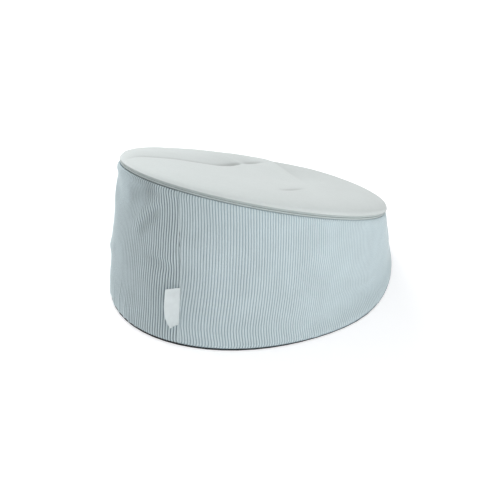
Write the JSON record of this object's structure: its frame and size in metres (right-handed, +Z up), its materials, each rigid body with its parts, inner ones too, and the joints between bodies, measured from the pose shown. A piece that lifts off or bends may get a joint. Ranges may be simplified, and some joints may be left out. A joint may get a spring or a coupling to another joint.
{
  "type": "baby beanbag seat",
  "caption": "Drum-shaped baby beanbag with ribbed corduroy sides, a smooth sloping top zipped on round its rim, a blank side tag and a bead-filled liner inside.",
  "frame": {"origin": "on the floor, under the middle of the base", "axes": "+Z up, +Y towards the high back, front with the low rim towards -Y, +X to the left of a child who sits in it"},
  "size_m": [0.5084, 0.6142, 0.2809],
  "materials": {
    "corduroy": "matte",
    "top_fabric": "matte",
    "base_fabric": "matte",
    "zip_tape": "matte",
    "zip_coil": "satin",
    "zip_metal": "satin",
    "tag_fabric": "satin",
    "liner_fabric": "matte",
    "beads": "matte"
  },
  "bodies": {
    "beanbag": {"side_panel_left": "corduroy", "side_panel_right": "corduroy", "top_panel": "top_fabric", "base_panel": "base_fabric", "front_bridge": "top_fabric", "rim_zip_tape_lower": "zip_tape", "rim_zip_tape_upper": "zip_tape", "rim_zip_coil_lower": "zip_coil", "rim_zip_coil_upper": "zip_coil", "rim_zip_stops": "zip_metal", "liner_side": "liner_fabric", "liner_top": "liner_fabric", "liner_base_front": "liner_fabric", "liner_base_rear": "liner_fabric", "liner_zip_tape_front": "liner_fabric", "liner_zip_tape_rear": "liner_fabric", "liner_zip_coils": "zip_coil", "liner_zip_stops": "zip_metal", "bead_fill": "beads"},
    "rim_slider": {"rim_zip_slider": "zip_metal"},
    "zip_pull": {"rim_zip_pull": "zip_metal"},
    "tag": {"side_tag": "tag_fabric"},
    "liner_slider": {"liner_zip_slider": "zip_metal"}
  },
  "joints": [
    {"name": "rim_zip_run", "type": "hinge", "parent": "beanbag", "child": "rim_slider", "pos_m": [0, -0.002, 0.186], "axis": [0, -0.342, 0.9397], "range_deg": [0, 344.9]},
    {"name": "zip_pull_flip", "type": "hinge", "parent": "rim_slider", "child": "zip_pull", "pos_m": [0.03286, -0.23631, 0.10072], "axis": [0, -0.342, 0.9397], "range_deg": [0, 180]},
    {"name": "tag_flip", "type": "hinge", "parent": "beanbag", "child": "tag", "pos_m": [-0.03393, 0.2826, 0.07581], "axis": [0.0914, -0.2148, 0.9724], "range_deg": [-41, 119]},
    {"name": "liner_zip_run", "type": "slide", "parent": "beanbag", "child": "liner_slider", "axis": [1, 0, 0], "range_m": [0, 0.357]}
  ]
}
